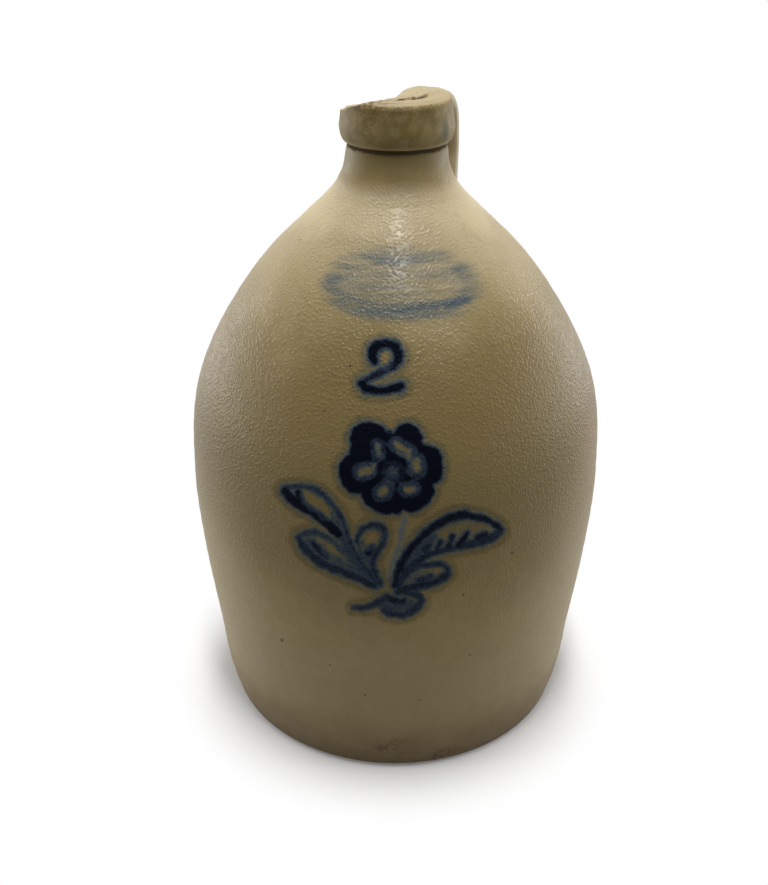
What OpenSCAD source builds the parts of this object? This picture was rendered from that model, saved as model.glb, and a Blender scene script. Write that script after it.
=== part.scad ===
// Salt-glazed stoneware jug, millimetres. The base stands on z = 0 and the axis of the jug is Z.
// The decorated front faces -Y, and the handle is at the back, turned a little towards +X.

/* [Body] */
// Diameter of the foot on the table
base_d = 200; // [185:1:215]
// Diameter at the widest ring of the belly
belly_d = 230; // [222:1:250]
// Height of the widest ring
belly_z = 150; // [135:1:165]
// Diameter of the neck just under the collar
neck_d = 51.5; // [48:0.5:54]
// Height of the top of the neck, where the collar sits
neck_top_z = 326.5; // [306.5:1:346.5]
// Thickness of the thrown wall
wall = 7.5; // [6:0.5:9]
// Thickness of the floor
floor_t = 9; // [7:0.5:12]
// Radius of the inside corner between floor and wall
floor_round = 14; // [8:1:20]
// Bevel trimmed off the foot
foot_bevel = 2.5; // [1:0.5:4]

/* [Mouth] */
// Diameter of the straight bore that takes the cork
bore_d = 29; // [26:0.5:32]
// Length of the bore inside the neck, below the collar
seat_depth = 14.5; // [9:0.5:16]
// Largest diameter of the collar
collar_d = 58; // [56:0.5:62]
// Height of the collar
collar_h = 21.5; // [20:0.5:26]
// Rounding of the mouth's inner edge
mouth_round = 3; // [1:0.5:4]
// Depth of the chip below the rim, at the outer edge of the collar
chip_depth = 8.5; // [3:0.5:10]
// How far past the axis the chip begins, or short of it if below zero
chip_start = -7; // [-9:0.5:8]
// Radius of the scooped face of the chip
chip_scoop_r = 160; // [30:5:200]
// Direction of the chip, turned from +X
chip_turn = 130; // [110:1:160]

/* [Handle] */
// Width of the strap
strap_w = 27; // [24:0.5:32]
// Thickness of the strap at its middle
strap_t = 11; // [8:0.5:13]
// Turn of the handle from straight back towards +X
handle_turn = 21; // [0:1:35]
// Distance from the rim down to the middle of the strap at its root
root_drop = 11; // [10:0.5:13]
// Upward slope of the strap where it leaves the collar
root_rise = 10; // [0:1:14]
// Straight run of the strap out of the collar
root_run = 10; // [6:0.5:14]
// Radius of the bend over the top, along the middle of the strap
crest_r = 18; // [15:0.5:22]
// Turn of the bend over the top
crest_angle = 90; // [86:1:94]
// Radius of the long bend down the back
back_r = 80; // [60:1:120]
// Turn of the long bend
back_angle = 15; // [8:1:18]
// Radius of the clay beads worked in at both ends
bead_r = 3.2; // [2:0.2:4]
// Length of the tail pressed down on the shoulder, past the strap
tail_l = 16; // [8:1:24]
// Thickness of the tail
tail_t = 3.5; // [2:0.5:5]

/* [Slip] */
// Thickness of the cobalt slip
slip_t = 0.5; // [0.3:0.1:0.8]
// Thickness of the brown slip that lines the inside
lining_t = 0.6; // [0.4:0.1:1.2]
// Width of a trailed line of slip
line_w = 2.4; // [1.6:0.1:3]

/* [Numeral] */
// Width of the numeral between the middles of its strokes
numeral_w = 18.5; // [14:0.5:24]
// Height of the numeral between the middles of its strokes
numeral_h = 21; // [16:0.5:26]
// Middle of the numeral, to the right of the axis
numeral_x = -6.3; // [-12:0.1:4]
// Height of the numeral's foot above the middle of the flower
numeral_rise = 34; // [30:1:40]
// Width of the numeral's stroke
numeral_line_w = 3.8; // [3:0.1:5]

/* [Flower] */
// Middle of the flower, to the right of the axis
flower_x = -1; // [-6:0.5:6]
// Height of the flower's middle above the place where the leaves meet
flower_rise = 62; // [58:1:66]
// Distance from the flower's middle to the tip of a petal
petal_reach = 25; // [20:0.5:27]
// Width of a petal
petal_w = 17; // [12:0.5:19]
// Width of the line round a petal
petal_line_w = 4.5; // [3:0.1:5.5]
// Height of the flower as a share of its width, seen from the front
flower_flat_share = 0.86; // [0.7:0.01:1]
// Diameter of the flower's eye
eye_d = 9; // [6:0.5:12]

/* [Leaves] */
// Place where the leaves meet, to the right of the axis
crown_x = -3; // [-8:0.5:4]
// Height of the place where the leaves meet
crown_z = 136; // [130:1:142]
// Width of the whole spray of leaves
spray_w = 110; // [95:1:120]

/* [Shoulder wash] */
// Width of the washed patch
wash_w = 80; // [60:1:90]
// Height of the washed patch, seen from the front
wash_h = 27; // [18:1:30]
// Middle of the patch, to the right of the axis
wash_x = 2; // [-5:0.5:8]
// Height of the middle of the patch above the top of the numeral
wash_rise = 20; // [18:0.5:22]
// Thickness of the wash
wash_t = 0.3; // [0.2:0.1:0.6]

/* [Hidden] */

$fn = 180;

clay = [0.66, 0.60, 0.47];
clay_dark = [0.58, 0.52, 0.40];
bead_clay = [0.62, 0.55, 0.42];
cobalt = [0.10, 0.13, 0.24];
cobalt_thin = [0.30, 0.35, 0.42];
brown_slip = [0.25, 0.14, 0.08];

base_r = base_d / 2;
belly_r = belly_d / 2;
neck_r = neck_d / 2;
bore_r = bore_d / 2;
collar_r = collar_d / 2;
rim_z = neck_top_z + collar_h;
bore_bottom_z = neck_top_z - seat_depth;
flower_z = crown_z + flower_rise;
numeral_z = flower_z + numeral_rise;
wash_z = numeral_z + numeral_h + wash_rise;
// Hair gap between a layer of slip and the wall that carries it
slip_gap = 0.02;

// Rings in the wall, from the foot to the top of the neck
wall_rings = 64;

// The wall below the belly: share of the belly's height, share of the swell from foot to belly
lower_shares = [[0, 0], [0.065, 0.19], [0.35, 0.54], [0.67, 0.87], [1, 1]];
// The wall above the belly: share of the way up to the neck's top, share of the belly's swell that is left
upper_shares = [
    [0.2975, 0.919], [0.5156, 0.70], [0.684, 0.446], [0.793, 0.223],
    [0.8676, 0.078], [0.917, 0.024], [0.952, 0.0073], [1, 0]
];
wall_stations = concat(
    [for (s = lower_shares) [belly_z * s[0], base_r + (belly_r - base_r) * s[1]]],
    [for (s = upper_shares) [
        belly_z + (neck_top_z - belly_z) * s[0],
        neck_r + (belly_r - neck_r) * s[1]
    ]]
);

// The collar's outer face: share of its height, share of its largest radius
collar_shares = [
    [0, 0.92], [0.06, 0.955], [0.28, 1], [0.5, 0.985],
    [0.76, 0.955], [0.91, 0.925], [0.97, 0.88], [1, 0.79]
];
collar_stations = [for (s = collar_shares) [neck_top_z + collar_h * s[0], collar_r * s[1]]];
collar_rings = 22;

// A smooth curve through stations of [height, radius]
function secant(p, i) = (p[i + 1][1] - p[i][1]) / (p[i + 1][0] - p[i][0]);
function tangent(p, i) =
    i == 0 ? secant(p, 0) :
    i == len(p) - 1 ? secant(p, i - 1) / 2 :
    (secant(p, i) * (p[i][0] - p[i - 1][0]) + secant(p, i - 1) * (p[i + 1][0] - p[i][0]))
        / (p[i + 1][0] - p[i - 1][0]);
function span_at(p, z, i = 0) = (i >= len(p) - 2 || z < p[i + 1][0]) ? i : span_at(p, z, i + 1);
function curve_at(p, z) =
    let (i = span_at(p, z), h = p[i + 1][0] - p[i][0], t = (z - p[i][0]) / h)
    (2 * t ^ 3 - 3 * t ^ 2 + 1) * p[i][1] + (t ^ 3 - 2 * t ^ 2 + t) * h * tangent(p, i)
    + (3 * t ^ 2 - 2 * t ^ 3) * p[i + 1][1] + (t ^ 3 - t ^ 2) * h * tangent(p, i + 1);
function slope_at(p, z) =
    let (i = span_at(p, z), h = p[i + 1][0] - p[i][0], t = (z - p[i][0]) / h)
    (6 * t ^ 2 - 6 * t) * (p[i][1] - p[i + 1][1]) / h
    + (3 * t ^ 2 - 4 * t + 1) * tangent(p, i) + (3 * t ^ 2 - 2 * t) * tangent(p, i + 1);

function reversed(list) = [for (i = [len(list) - 1 : -1 : 0]) list[i]];
function clamp_share(t) = min(1, max(0, t));
function eased(t) = let (u = clamp_share(t)) u * u * (3 - 2 * u);
function ring_z(i) = neck_top_z * i / wall_rings;
function outer_r(z) = curve_at(wall_stations, z);
function steepness(z) = norm([1, slope_at(wall_stations, z)]);

// A point on the wall's outside, moved out along the surface's normal
function outer_point(i, out = 0) =
    let (z = ring_z(i), s = slope_at(wall_stations, z))
    [outer_r(z) + out / steepness(z), z - out * s / steepness(z)];
function outer_points(first, last, out = 0) = [for (i = [first : last]) outer_point(i, out)];

// The inside: an even wall up to the throat, where it thickens to meet the bore
throat_share = 0.8;
throat_z = bore_bottom_z * throat_share;
function inner_r(z, coat) =
    let (s = eased((z - throat_z) / (bore_bottom_z - throat_z)))
    (outer_r(z) - (wall + coat) * steepness(z)) * (1 - s) + (bore_r + lining_t - coat) * s;
floor_arc_steps = 6;
inner_rings = 56;
function inner_points(coat) =
    let (
        round_r = floor_round - coat,
        start_z = floor_t + floor_round,
        side_r = inner_r(start_z, coat)
    )
    concat(
        [[0, floor_t + coat]],
        [for (i = [0 : floor_arc_steps - 1]) let (a = -90 + 90 * i / floor_arc_steps) [
            side_r - round_r + round_r * cos(a),
            start_z + round_r * sin(a)
        ]],
        [for (i = [0 : inner_rings]) let (z = start_z + (bore_bottom_z - start_z) * i / inner_rings)
            [inner_r(z, coat), z]]
    );

collar_points = [for (i = [0 : collar_rings]) let (z = neck_top_z + collar_h * i / collar_rings)
    [curve_at(collar_stations, z), z]];

// The collar without its bore, which trims what is luted on
module collar_solid() {
    rotate_extrude()
        polygon(concat([[0, neck_top_z]], collar_points, [[0, rim_z]]));
}

module body() {
    color(clay)
    rotate_extrude()
        polygon(concat(
            [[0, 0], [base_r - foot_bevel, 0], [outer_r(foot_bevel), foot_bevel]],
            outer_points(1, wall_rings),
            [[bore_r, neck_top_z], [bore_r, bore_bottom_z]],
            reversed(inner_points(0))
        ));
}

// The scooped chip, as a ball that meets the rim near the axis and the collar's side below the rim
module chip_ball() {
    chord_run = collar_r - chip_start;
    chord = norm([chord_run, chip_depth]);
    rise = sqrt(chip_scoop_r ^ 2 - (chord / 2) ^ 2);
    rotate([0, 0, chip_turn])
    translate([
        chip_start + chord_run / 2 + rise * chip_depth / chord,
        0,
        rim_z - chip_depth / 2 + rise * chord_run / chord
    ])
    sphere(r = chip_scoop_r);
}

mouth_arc_steps = 5;
module lip_collar() {
    color(clay_dark)
    difference() {
        rotate_extrude()
            polygon(concat(
                [[bore_r, neck_top_z]],
                collar_points,
                [for (i = [0 : mouth_arc_steps]) let (a = 90 + 90 * i / mouth_arc_steps) [
                    bore_r + mouth_round + mouth_round * cos(a),
                    rim_z - mouth_round + mouth_round * sin(a)
                ]]
            ));
        chip_ball();
    }
}

// The strap's section: a flat inner face, a domed outer face and rounded edges.
// Its thickness runs along u and its width along v.
strap_sides = 24;
strap_edge_share = 0.62;
// How much wider the strap is at its two ends
strap_flare_share = 0.1;
function strap_section(t) =
    let (half_w = strap_w / 2 * (1 + strap_flare_share * (2 * t - 1) ^ 4))
    [for (i = [0 : strap_sides - 1]) let (a = 360 * i / strap_sides) [
        strap_t / 2 * (cos(a) > 0 ? cos(a) : -abs(cos(a)) ^ strap_edge_share),
        half_w * sign(sin(a)) * abs(sin(a)) ^ strap_edge_share
    ]];

// Height on the shoulder where the wall has a given radius
function shoulder_z_at(r, low = belly_z, high = neck_top_z, steps = 20) =
    steps == 0 ? (low + high) / 2 :
    outer_r((low + high) / 2) > r ? shoulder_z_at(r, (low + high) / 2, high, steps - 1)
    : shoulder_z_at(r, low, (low + high) / 2, steps - 1);

// The strap's route in the plane of the handle, as [distance from the axis, height].
// A heading is the slope of the route, and a bend's centre lies square to it.
function aim(a) = [cos(a), sin(a)];
function beside_aim(a) = [-sin(a), cos(a)];
root_face = [collar_r, rim_z - root_drop];
root_point = root_face - (collar_r - bore_r) * aim(root_rise);
crest_start = root_face + root_run * aim(root_rise);
crest_centre = crest_start - crest_r * beside_aim(root_rise);
crest_heading = root_rise - crest_angle;
back_start = crest_centre + crest_r * beside_aim(crest_heading);
back_centre = back_start - back_r * beside_aim(crest_heading);
back_heading = crest_heading - back_angle;
drop_start = back_centre + back_r * beside_aim(back_heading);
// The strap runs down past the surface of the shoulder, and the shoulder trims it
strap_overrun = strap_t * 1.5;
drop_end = drop_start
    + (drop_start[1] - shoulder_z_at(drop_start[0]) + strap_overrun) * aim(back_heading);

// Rings of the strap: [distance from the axis, height, heading]
function bend(centre, radius, from, to, steps) = [for (i = [0 : steps])
    let (h = from + (to - from) * i / steps, p = centre + radius * beside_aim(h)) [p[0], p[1], h]];
crest_steps = 10;
back_steps = 3;
strap_route = concat(
    [[root_point[0], root_point[1], root_rise]],
    bend(crest_centre, crest_r, root_rise, crest_heading, crest_steps),
    bend(back_centre, back_r, crest_heading - back_angle / back_steps, back_heading, back_steps - 1),
    [[drop_end[0], drop_end[1], back_heading]]
);

module in_handle_plane() {
    rotate([0, 0, 90 - handle_turn])
    children();
}

module strap_sweep() {
    last = len(strap_route) - 1;
    points = [for (i = [0 : last])
        for (q = strap_section(i / last))
            let (s = strap_route[i], out = q[0] * beside_aim(s[2]))
            [s[0] + out[0], q[1], s[1] + out[1]]];
    sides = [for (i = [0 : last - 1])
        for (j = [0 : strap_sides - 1])
            let (k = (j + 1) % strap_sides, a = i * strap_sides, b = a + strap_sides)
            each [[a + j, b + k, b + j], [a + j, a + k, b + k]]];
    root_cap = [for (j = [1 : strap_sides - 2]) [0, j + 1, j]];
    foot = last * strap_sides;
    foot_cap = [for (j = [1 : strap_sides - 2]) [foot, foot + j, foot + j + 1]];
    in_handle_plane()
    polyhedron(points, concat(sides, root_cap, foot_cap));
}

// A bead of clay bent round the jug's axis, centred on the handle
bead_sides = 32;
module bead(r, z) {
    bead_angle = 2 * asin((strap_w - bead_r) / 2 / r);
    in_handle_plane()
    rotate([0, 0, -bead_angle / 2])
    rotate_extrude(angle = bead_angle)
        translate([r, z])
        circle(r = bead_r, $fn = bead_sides);
}

module root_beads() {
    for (side = [-1, 1])
        bead(collar_r, root_face[1] + side * (strap_t + bead_r) / 2);
}

// Where the strap's inner and outer faces come down on the shoulder
foot_in_r = drop_start[0] - strap_t / 2;
foot_out_r = drop_start[0] + strap_t / 2;
module foot_bead() {
    bead(foot_in_r - bead_r, shoulder_z_at(foot_in_r - bead_r) + tail_t / 2);
}

tail_low_ring = floor(wall_rings * shoulder_z_at(foot_out_r + tail_l + tail_t) / neck_top_z);
tail_high_ring = ceil(wall_rings * shoulder_z_at(foot_in_r - strap_overrun) / neck_top_z);

// The shoulder with a layer of clay on it, filled in to the axis
module shoulder_seat(layer_t = tail_t) {
    rotate_extrude()
        polygon(concat(
            [[0, ring_z(tail_low_ring)]],
            outer_points(tail_low_ring, tail_high_ring, layer_t),
            [[0, ring_z(tail_high_ring)]]
        ));
}

module strap_handle() {
    color(clay)
    difference() {
        strap_sweep();
        shoulder_seat();
        collar_solid();
        root_beads();
        foot_bead();
    }
}

module upper_luting() {
    color(bead_clay)
    difference() {
        root_beads();
        collar_solid();
        chip_ball();
    }
}

// The tail of the strap: a tongue of clay that lies on the shoulder, under the strap and past it
tail_steps = 24;
tail_half_w = strap_w / 2 * (1 + strap_flare_share) + tail_t / 2;
function tail_outline() = concat(
    [[foot_in_r - strap_t, -tail_half_w]],
    [for (i = [0 : tail_steps]) let (a = -90 + 180 * i / tail_steps)
        [foot_out_r + tail_l * cos(a), tail_half_w * sin(a)]],
    [[foot_in_r - strap_t, tail_half_w]]
);

module lower_luting() {
    color(bead_clay)
    union() {
        intersection() {
            skin(tail_low_ring, tail_high_ring, tail_t);
            in_handle_plane()
            linear_extrude(height = rim_z)
                polygon(tail_outline());
        }
        // The bead runs down through the tail to the wall, so that the two are one piece of clay
        difference() {
            foot_bead();
            shoulder_seat(0);
        }
    }
}

// A thin layer on the outside of the wall, from one ring to another
module skin(first, last, thickness, gap = 0) {
    rotate_extrude()
        polygon(concat(
            outer_points(first, last, gap),
            reversed(outer_points(first, last, gap + thickness))
        ));
}

module slip_lining() {
    color(brown_slip)
    rotate_extrude()
        polygon(concat(inner_points(0), reversed(inner_points(lining_t))));
}

// A layer of slip on the front of the wall, with an outline drawn as [right, up]
module slip_layer(low_z, high_z, thickness) {
    intersection() {
        skin(
            floor(wall_rings * low_z / neck_top_z),
            ceil(wall_rings * high_z / neck_top_z),
            thickness,
            slip_gap
        );
        rotate([90, 0, 0])
        linear_extrude(height = belly_d)
            children();
    }
}

// A smooth path through points given by hand
path_steps = 4;
function path_point(p, i, t) =
    let (a = p[max(0, i - 1)], b = p[i], c = p[i + 1], d = p[min(len(p) - 1, i + 2)])
    (2 * b + (c - a) * t + (2 * a - 5 * b + 4 * c - d) * t ^ 2 + (3 * b - a - 3 * c + d) * t ^ 3) / 2;
function smooth_path(p) = concat(
    [for (i = [0 : len(p) - 2]) for (s = [0 : path_steps - 1]) path_point(p, i, s / path_steps)],
    [p[len(p) - 1]]
);
function heading(p, i) =
    let (d = p[min(len(p) - 1, i + 1)] - p[max(0, i - 1)]) atan2(d[1], d[0]);
function beside(p, i, out) = let (a = heading(p, i) + 90) p[i] + out * [cos(a), sin(a)];
end_step = 30;
function round_end(centre, a, r) = [for (s = [end_step - 90 : end_step : 90 - end_step])
    centre + r * [cos(a + s), sin(a + s)]];

// The outline of a line of slip along a path, with round ends
function trail(p, width) =
    let (last = len(p) - 1, r = width / 2)
    concat(
        [for (i = [0 : last]) beside(p, i, -r)],
        round_end(p[last], heading(p, last), r),
        [for (i = [last : -1 : 0]) beside(p, i, r)],
        round_end(p[0], heading(p, 0) + 180, r)
    );

// The numeral's two strokes: share of its width from the middle, share of its height from the foot
bowl_shares = [
    [-0.26, 0.60], [-0.33, 0.81], [-0.18, 0.95], [0.10, 0.99], [0.33, 0.90], [0.45, 0.72],
    [0.40, 0.54], [0.22, 0.40], [-0.03, 0.31], [-0.28, 0.23], [-0.46, 0.14]
];
foot_shares = [[-0.5, 0.06], [-0.32, 0], [-0.03, 0], [0.3, 0.04], [0.49, 0.12]];
function numeral_path(shares) = smooth_path([for (s = shares)
    [numeral_x + numeral_w * s[0], numeral_z + numeral_h * s[1]]]);

module numeral_two() {
    color(cobalt)
    slip_layer(numeral_z - numeral_line_w, numeral_z + numeral_h + numeral_line_w, slip_t) {
        polygon(trail(numeral_path(bowl_shares), numeral_line_w));
        polygon(trail(numeral_path(foot_shares), numeral_line_w));
    }
}

// A leaf or petal from the origin along x, widest towards its tip, bowed sideways by sway
blade_steps = 12;
blade_taper = 1.35;
blade_fullness = 0.75;
function blade_half(t) = sin(180 * t ^ blade_taper) ^ blade_fullness;
function blade(length, width, sway) = concat(
    [for (i = [0 : blade_steps]) let (t = i / blade_steps)
        [length * t, sway * sin(180 * t) - width / 2 * blade_half(t)]],
    [for (i = [blade_steps - 1 : -1 : 1]) let (t = i / blade_steps)
        [length * t, sway * sin(180 * t) + width / 2 * blade_half(t)]]
);
function turned(p, a) = [p[0] * cos(a) - p[1] * sin(a), p[0] * sin(a) + p[1] * cos(a)];
function placed(points, at, a, flat = 1) =
    [for (p = points) let (q = turned(p, a)) at + [q[0], q[1] * flat]];

petal_count = 6;
first_petal_angle = 8;
petal_base = eye_d / 3;
// How much further than its width the line round a petal reaches in at the petal's base
petal_base_share = 1.6;
function petal_outline(i, inset) =
    let (
        a = first_petal_angle + 360 * i / petal_count,
        start = petal_base + inset * petal_base_share,
        length = petal_reach - inset - start
    )
    placed(
        placed(blade(length, petal_w - inset * 2, 0), [start, 0], 0),
        [flower_x, flower_z], a, flower_flat_share
    );
eye_steps = 12;
function eye_outline() = placed(
    [for (i = [0 : eye_steps - 1]) let (a = 360 * i / eye_steps) eye_d / 2 * [cos(a), sin(a)]],
    [flower_x, flower_z], 0, flower_flat_share
);
flower_low_z = flower_z - petal_reach;
flower_high_z = flower_z + petal_reach;

module flower_petals() {
    color(cobalt)
    slip_layer(flower_low_z, flower_high_z, slip_t)
    difference() {
        for (i = [0 : petal_count - 1])
            polygon(petal_outline(i, 0));
        for (i = [0 : petal_count - 1])
            polygon(petal_outline(i, petal_line_w));
        polygon(eye_outline());
    }
}

module flower_eye() {
    color(cobalt_thin)
    slip_layer(flower_z - eye_d, flower_z + eye_d, slip_t)
    polygon(eye_outline());
}

// The leaves, as shares of the spray's width: base right, base up, length, width, sway
leaf_shares = [
    [-0.054, 0.003, 0.59, 0.11, -0.045],
    [-0.045, -0.03, 0.42, 0.11, 0.02],
    [-0.025, 0.045, 0.28, 0.12, 0.02],
    [0.035, 0.016, 0.50, 0.13, 0.105],
    [0.10, -0.03, 0.20, 0.10, 0.03]
];
leaf_headings = [135, 148, 95, 24, 28];
upper_left = 0;
lower_left = 1;
bud_leaf = 2;
upper_right = 3;
lower_right = 4;

// How many widths of the line round a leaf fill the leaf's narrow base
leaf_base_share = 3;
function leaf_outline(i, inset) =
    let (s = spray_w * leaf_shares[i], base = inset * leaf_base_share)
    placed(
        placed(blade(s[2] - base - inset, s[3] - inset * 2, s[4]), [base, 0], 0),
        [crown_x + s[0], crown_z + s[1]],
        leaf_headings[i]
    );

// Height of the band on the wall that holds the foot of every leaf
spray_margin_share = 0.1;
spray_margin = spray_w * spray_margin_share;
module leaf(i) {
    reach_z = spray_w * (leaf_shares[i][2] + leaf_shares[i][3]) * sin(leaf_headings[i]);
    color(cobalt)
    slip_layer(crown_z - spray_margin, crown_z + spray_margin + reach_z, slip_t)
    difference() {
        polygon(leaf_outline(i, 0));
        polygon(leaf_outline(i, line_w));
        // The leaf that was trailed first lies under the one beside it
        if (i == lower_left || i == bud_leaf)
            polygon(leaf_outline(upper_left, 0));
        if (i == lower_right)
            polygon(leaf_outline(upper_right, 0));
    }
}

module leaf_upper_left() { leaf(upper_left); }
module leaf_lower_left() { leaf(lower_left); }
module bud() { leaf(bud_leaf); }
module leaf_upper_right() { leaf(upper_right); }
module leaf_lower_right() { leaf(lower_right); }

// The stem, from under the flower down to the leaves
stem_bow_share = 0.06;
stem_foot_share = 0.09;
stem_steps = 8;
stem_foot = [crown_x + line_w / 2, crown_z + spray_w * stem_foot_share];
stem_head = [flower_x + petal_reach / 4, flower_z - petal_reach * flower_flat_share - line_w];
function stem_path() = [for (i = [0 : stem_steps]) let (t = i / stem_steps)
    stem_foot + (stem_head - stem_foot) * t
    + [-stem_bow_share * (stem_head[1] - stem_foot[1]) * sin(180 * t), 0]];

module flower_stem() {
    color(cobalt_thin)
    slip_layer(stem_foot[1] - line_w, stem_head[1] + line_w, slip_t)
    difference() {
        polygon(trail(stem_path(), line_w));
        polygon(leaf_outline(bud_leaf, 0));
        polygon(leaf_outline(upper_right, 0));
        for (i = [0 : petal_count - 1])
            polygon(petal_outline(i, 0));
    }
}

// The flourish under the leaves: shares of the spray's width from the crown
flourish_shares = [
    [-0.16, -0.13], [-0.08, -0.115], [0.0, -0.085], [0.08, -0.075], [0.15, -0.085],
    [0.155, -0.12], [0.10, -0.145], [0.02, -0.14]
];

module root_flourish() {
    color(cobalt)
    slip_layer(crown_z - 2 * spray_margin, crown_z, slip_t)
    difference() {
        polygon(trail(smooth_path([for (s = flourish_shares)
            [crown_x, crown_z] + spray_w * s]), line_w));
        polygon(leaf_outline(lower_left, 0));
        polygon(leaf_outline(lower_right, 0));
    }
}

wash_steps = 36;
module shoulder_wash() {
    color(cobalt_thin)
    slip_layer(wash_z - wash_h / 2, wash_z + wash_h / 2, wash_t)
    polygon([for (i = [0 : wash_steps - 1]) let (a = 360 * i / wash_steps)
        [wash_x + wash_w / 2 * cos(a), wash_z + wash_h / 2 * sin(a)]]);
}

body();
lip_collar();
strap_handle();
upper_luting();
lower_luting();
slip_lining();
numeral_two();
flower_petals();
flower_eye();
flower_stem();
leaf_upper_left();
leaf_lower_left();
bud();
leaf_upper_right();
leaf_lower_right();
root_flourish();
shoulder_wash();
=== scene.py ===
# %% [markdown]
# A salt-glazed stoneware jug
#
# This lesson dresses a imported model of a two-gallon jug. The real one was thrown on a wheel from
# coarse clay, given a turned collar and a pulled handle, painted with cobalt slip, and glazed by
# salt thrown into the kiln. The frame already holds the true sizes, so every cell below only adds
# surface: denser meshes, drawn slip, and materials.

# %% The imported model
import math
import bmesh
import bpy
import numpy as np
from mathutils import Matrix, Vector, noise
from mathutils.bvhtree import BVHTree


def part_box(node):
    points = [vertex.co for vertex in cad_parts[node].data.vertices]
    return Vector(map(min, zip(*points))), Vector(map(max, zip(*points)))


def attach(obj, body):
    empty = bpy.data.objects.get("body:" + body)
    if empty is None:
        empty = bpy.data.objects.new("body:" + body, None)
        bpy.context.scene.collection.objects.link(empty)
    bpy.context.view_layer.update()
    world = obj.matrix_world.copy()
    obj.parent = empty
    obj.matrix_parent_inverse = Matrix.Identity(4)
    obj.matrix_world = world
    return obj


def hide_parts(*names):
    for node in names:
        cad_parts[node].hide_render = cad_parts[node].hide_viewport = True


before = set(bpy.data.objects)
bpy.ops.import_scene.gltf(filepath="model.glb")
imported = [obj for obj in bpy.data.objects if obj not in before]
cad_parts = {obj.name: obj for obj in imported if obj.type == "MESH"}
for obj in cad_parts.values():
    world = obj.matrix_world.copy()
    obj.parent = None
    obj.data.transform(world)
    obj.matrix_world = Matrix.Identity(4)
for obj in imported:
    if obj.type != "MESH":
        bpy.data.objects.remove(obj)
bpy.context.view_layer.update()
mm = 0.001

# %% [markdown]
# The camera
#
# The photograph was taken from a little above, so the shoulder looks long and the foot narrow. The
# camera comes first, because the slip drawing below is thrown onto the wall along its rays.

# %% Camera
photo_w, photo_h = 768, 885
focal_px = 1040
scene = bpy.context.scene
scene.view_settings.view_transform = "Standard"
camera_data = bpy.data.cameras.new("camera")
camera_data.sensor_width = 36
camera_data.lens = focal_px / photo_h * camera_data.sensor_width
camera = bpy.data.objects.new("camera", camera_data)
camera.location = (0, -0.5276, 0.4435)
camera.rotation_euler = (math.radians(61.20), 0, math.radians(0.697))
scene.collection.objects.link(camera)
scene.camera = camera
camera_turn = camera.rotation_euler.to_matrix()
print("lens", round(camera_data.lens, 2), "mm")


def photo_ray(x, y):
    """Direction in which the camera sees the photograph's pixel (x, y)."""
    return (camera_turn @ Vector((x - photo_w / 2, photo_h / 2 - y, -focal_px))).normalized()


# %% [markdown]
# The section of the wall
#
# A pot is a spun shape, so its whole wall is one outline turned about the axis. The outline is
# sliced out of the frame's own node with two bisect cuts, smoothed between its corners, and spun
# again with far more steps than the frame needs. That keeps the size and gives soft curves.

# %% Section of a node
def section_of(node):
    """A CAD node's outline in the half plane x = 0, y < 0, as an ordered list of (r, z)."""
    bm = bmesh.new()
    bm.from_mesh(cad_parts[node].data)
    bmesh.ops.remove_doubles(bm, verts=bm.verts, dist=0.002 * mm)
    for normal, both in (((1, 0, 0), True), ((0, 1, 0), False)):
        bmesh.ops.bisect_plane(
            bm, geom=bm.verts[:] + bm.edges[:] + bm.faces[:], dist=0.0001 * mm,
            plane_co=(0, 0, 0), plane_no=normal, clear_outer=True, clear_inner=both
        )
    bmesh.ops.remove_doubles(bm, verts=bm.verts, dist=0.01 * mm)
    ends = [v for v in bm.verts if len(v.link_edges) == 1]
    start = min(ends or bm.verts[:], key=lambda v: (round(v.co.z, 5), v.co.y))
    points, here, edge = [start.co.copy()], start, None
    while True:
        edge = next((e for e in here.link_edges if e is not edge), None)
        if edge is None:
            break
        here = edge.other_vert(here)
        points.append(here.co.copy())
        if here is start:
            break
    bm.free()
    return [(abs(p.y), p.z) for p in points]


# %% Curves
def curve_through(points, steps):
    """A smooth curve through given points, with that many steps between neighbours."""
    p = np.array(points, float)
    p = np.vstack([2 * p[0] - p[1], p, 2 * p[-1] - p[-2]])
    t = np.arange(steps)[:, None] / steps
    spans = []
    for a, b, c, d in zip(p[:-3], p[1:-2], p[2:-1], p[3:]):
        spans.append((2 * b + (c - a) * t + (2 * a - 5 * b + 4 * c - d) * t ** 2
                      + (3 * b - a - 3 * c + d) * t ** 3) / 2)
    return np.vstack(spans + [p[-2:-1]])


def smooth_runs(points, spacing, corner=25):
    """The outline again at about that spacing, curved between its sharp corners."""
    p = [Vector(q) for q in points]
    p = [p[0]] + [b for a, b in zip(p, p[1:]) if (b - a).length > 0.02 * mm]
    turns = [math.degrees((b - a).angle(c - b)) for a, b, c in zip(p, p[1:], p[2:])]
    corners = [0] + [i + 1 for i, t in enumerate(turns) if t > corner] + [len(p) - 1]
    out = []
    for i, j in zip(corners, corners[1:]):
        length = sum((b - a).length for a, b in zip(p[i:j], p[i + 1:j + 1])) / (j - i)
        run = curve_through(p[i:j + 1], max(1, round(length / spacing)))
        out += [tuple(q) for q in run[:-1]]
    return out + [tuple(p[-1])]


# %% Spinning
def spun(outline, steps):
    """A bmesh of revolution from an outline of (r, z)."""
    bm = bmesh.new()
    verts = [bm.verts.new((0, -r, z)) for r, z in outline]
    edges = [bm.edges.new(pair) for pair in zip(verts, verts[1:])]
    bmesh.ops.spin(
        bm, geom=verts + edges, angle=2 * math.pi, steps=steps, use_merge=True,
        axis=(0, 0, 1), cent=(0, 0, 0)
    )
    bmesh.ops.remove_doubles(bm, verts=bm.verts, dist=0.005 * mm)
    bmesh.ops.recalc_face_normals(bm, faces=bm.faces)
    return bm


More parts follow.
